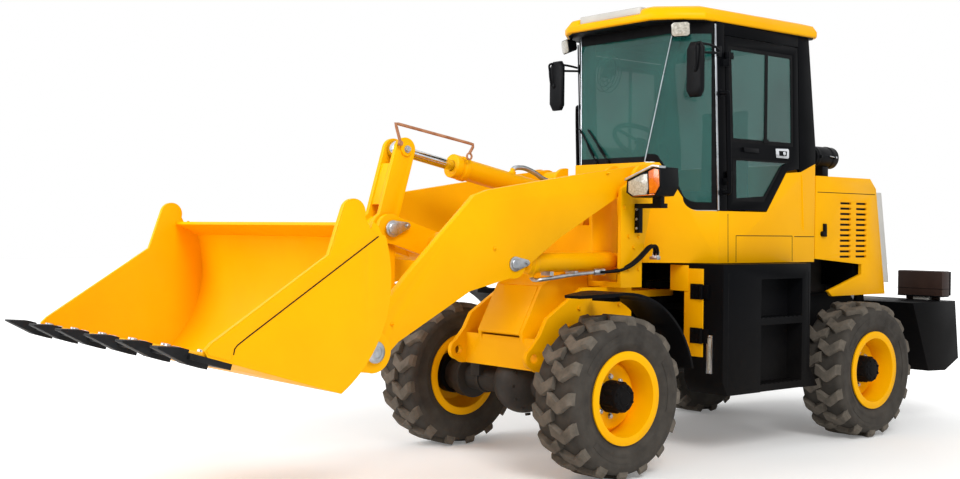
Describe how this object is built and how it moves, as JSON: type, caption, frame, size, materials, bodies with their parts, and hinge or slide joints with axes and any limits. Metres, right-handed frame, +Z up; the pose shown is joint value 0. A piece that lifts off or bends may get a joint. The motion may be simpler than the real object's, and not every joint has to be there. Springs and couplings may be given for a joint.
{
  "type": "wheel loader",
  "caption": "Compact articulated wheel loader with a closed cab, a Z-bar boom and a wide toothed bucket, for digging, lifting and carrying loose material.",
  "frame": {"origin": "Centre of the bounding box at ground level, under the tyres.", "axes": "+X forward towards the bucket, +Y left, +Z up."},
  "size_m": [5.9462, 1.708, 2.562],
  "materials": {
    "yellow_paint": "gloss",
    "black_paint": "satin",
    "cast": "matte",
    "rubber": "matte",
    "steel": "polished",
    "wear_steel": "matte",
    "glass": "clear",
    "plastic": "matte",
    "pale_plastic": "matte",
    "lamp_lens": "gloss",
    "copper_paint": "satin",
    "seat_cover": "matte"
  },
  "bodies": {
    "rear_half": {"rear_frame": "black_paint", "rear_axle": "black_paint", "counterweight": "black_paint", "lamps": "lamp_lens", "side_tanks": "black_paint", "front_covers": "yellow_paint", "cab_base": "yellow_paint", "cab_frame": "black_paint", "roof": "yellow_paint", "roof_bar": "pale_plastic", "cab_glass": "glass", "seat": "seat_cover", "controls": "plastic", "mirrors": "plastic", "engine": "cast", "transmission": "cast"},
    "hood": {"hood": "yellow_paint", "rear_grille": "pale_plastic", "air_cleaner": "plastic"},
    "door_left": {"door_left": "black_paint", "door_left_glass": "glass"},
    "door_right": {"door_right": "black_paint", "door_right_glass": "glass"},
    "front_half": {"front_frame": "yellow_paint", "boom_tower": "yellow_paint", "front_axle": "black_paint", "fenders": "black_paint", "headlamps": "plastic", "front_shaft": "cast"},
    "boom": {"boom": "yellow_paint"},
    "lever": {"tilt_lever": "yellow_paint", "level_rod": "copper_paint"},
    "link": {"bucket_link": "yellow_paint"},
    "bucket": {"bucket": "yellow_paint", "cutting_edge": "wear_steel"},
    "tilt_barrel": {"tilt_barrel": "yellow_paint"},
    "tilt_rod": {"tilt_rod": "steel"},
    "lift_barrels": {"lift_barrels": "yellow_paint"},
    "lift_rods": {"lift_rods": "steel"},
    "steer_barrel_left": {"steer_barrel_left": "black_paint"},
    "steer_rod_left": {"steer_rod_left": "steel"},
    "steer_barrel_right": {"steer_barrel_right": "black_paint"},
    "steer_rod_right": {"steer_rod_right": "steel"},
    "wheel_front_left": {"tyre_front_left": "rubber", "rim_front_left": "yellow_paint", "hub_front_left": "black_paint"},
    "wheel_front_right": {"tyre_front_right": "rubber", "rim_front_right": "yellow_paint", "hub_front_right": "black_paint"},
    "wheel_rear_left": {"tyre_rear_left": "rubber", "rim_rear_left": "yellow_paint", "hub_rear_left": "black_paint"},
    "wheel_rear_right": {"tyre_rear_right": "rubber", "rim_rear_right": "yellow_paint", "hub_rear_right": "black_paint"}
  },
  "joints": [
    {"name": "steer", "type": "hinge", "parent": "rear_half", "child": "front_half", "pos_m": [-0.70309, 0, 0.7], "axis": [0, 0, 1], "range_deg": [-35, 35]},
    {"name": "wheel_spin_front_left", "type": "hinge", "parent": "front_half", "child": "wheel_front_left", "pos_m": [0.40991, 0.655, 0.42], "axis": [0, 1, 0], "continuous": true},
    {"name": "wheel_spin_front_right", "type": "hinge", "parent": "front_half", "child": "wheel_front_right", "pos_m": [0.40991, -0.655, 0.42], "axis": [0, 1, 0], "continuous": true},
    {"name": "wheel_spin_rear_left", "type": "hinge", "parent": "rear_half", "child": "wheel_rear_left", "pos_m": [-1.81609, 0.655, 0.42], "axis": [0, 1, 0], "continuous": true},
    {"name": "wheel_spin_rear_right", "type": "hinge", "parent": "rear_half", "child": "wheel_rear_right", "pos_m": [-1.81609, -0.655, 0.42], "axis": [0, 1, 0], "continuous": true},
    {"name": "boom_lift", "type": "hinge", "parent": "front_half", "child": "boom", "pos_m": [-0.08309, 0, 1.55], "axis": [0, -1, 0], "range_deg": [-15, 65]},
    {"name": "bucket_tilt", "type": "hinge", "parent": "boom", "child": "bucket", "pos_m": [1.71691, 0, 0.7], "axis": [0, 1, 0], "range_deg": [-28, 120]},
    {"name": "lever_turn", "type": "hinge", "parent": "boom", "child": "lever", "pos_m": [1.39691, 0, 1.27], "axis": [0, -1, 0], "range_deg": [-7, 29]},
    {"name": "link_turn", "type": "hinge", "parent": "bucket", "child": "link", "pos_m": [1.84306, 0, 0.93725], "axis": [0, -1, 0], "range_deg": [-16, 63]},
    {"name": "tilt_barrel_swing", "type": "hinge", "parent": "front_half", "child": "tilt_barrel", "pos_m": [-0.03309, 0, 1.42], "axis": [0, -1, 0], "range_deg": [-15, 63]},
    {"name": "tilt_rod_slide", "type": "slide", "parent": "tilt_barrel", "child": "tilt_rod", "axis": [0.9819, 0, 0.1893], "range_m": [-0.115, 0.03]},
    {"name": "lift_barrel_swing", "type": "hinge", "parent": "front_half", "child": "lift_barrels", "pos_m": [-0.04309, 0, 1.1], "axis": [0, -1, 0], "range_deg": [-14, 58]},
    {"name": "lift_rod_slide", "type": "slide", "parent": "lift_barrels", "child": "lift_rods", "axis": [1, 0, -0.0046], "range_m": [-0.11, 0.47]},
    {"name": "steer_barrel_swing_left", "type": "hinge", "parent": "rear_half", "child": "steer_barrel_left", "pos_m": [-1.15309, 0.17, 0.7], "axis": [0, 0, 1], "range_deg": [-14, 14]},
    {"name": "steer_rod_slide_left", "type": "slide", "parent": "steer_barrel_left", "child": "steer_rod_left", "axis": [0.9996, -0.0267, 0], "range_m": [-0.096, 0.096]},
    {"name": "steer_barrel_swing_right", "type": "hinge", "parent": "rear_half", "child": "steer_barrel_right", "pos_m": [-1.15309, -0.17, 0.7], "axis": [0, 0, 1], "range_deg": [-14, 14]},
    {"name": "steer_rod_slide_right", "type": "slide", "parent": "steer_barrel_right", "child": "steer_rod_right", "axis": [0.9996, 0.0267, 0], "range_m": [-0.096, 0.096]},
    {"name": "door_open_left", "type": "hinge", "parent": "rear_half", "child": "door_left", "pos_m": [-0.66009, 0.571, 1.39], "axis": [-0.0455, 0, -0.999], "range_deg": [0, 100]},
    {"name": "door_open_right", "type": "hinge", "parent": "rear_half", "child": "door_right", "pos_m": [-0.66009, -0.571, 1.39], "axis": [0.0455, 0, 0.999], "range_deg": [0, 100]},
    {"name": "hood_open", "type": "hinge", "parent": "rear_half", "child": "hood", "pos_m": [-2.32809, 0, 0.9], "axis": [0, -1, 0], "range_deg": [0, 50]}
  ],
  "couplings": [
    {"joint": "lever_turn", "follows": "bucket_tilt", "ratio": 0.2358},
    {"joint": "link_turn", "follows": "bucket_tilt", "ratio": 0.51},
    {"joint": "tilt_barrel_swing", "follows": "boom_lift", "ratio": 0.9645},
    {"joint": "tilt_rod_slide", "follows": "bucket_tilt", "m_per_rad": -0.0533},
    {"joint": "lift_barrel_swing", "follows": "boom_lift", "ratio": 0.8825},
    {"joint": "lift_rod_slide", "follows": "boom_lift", "m_per_rad": 0.4101},
    {"joint": "steer_barrel_swing_left", "follows": "steer", "ratio": 0.3928},
    {"joint": "steer_barrel_swing_right", "follows": "steer", "ratio": 0.3928},
    {"joint": "steer_rod_slide_left", "follows": "steer", "m_per_rad": -0.1554},
    {"joint": "steer_rod_slide_right", "follows": "steer", "m_per_rad": 0.1554}
  ]
}
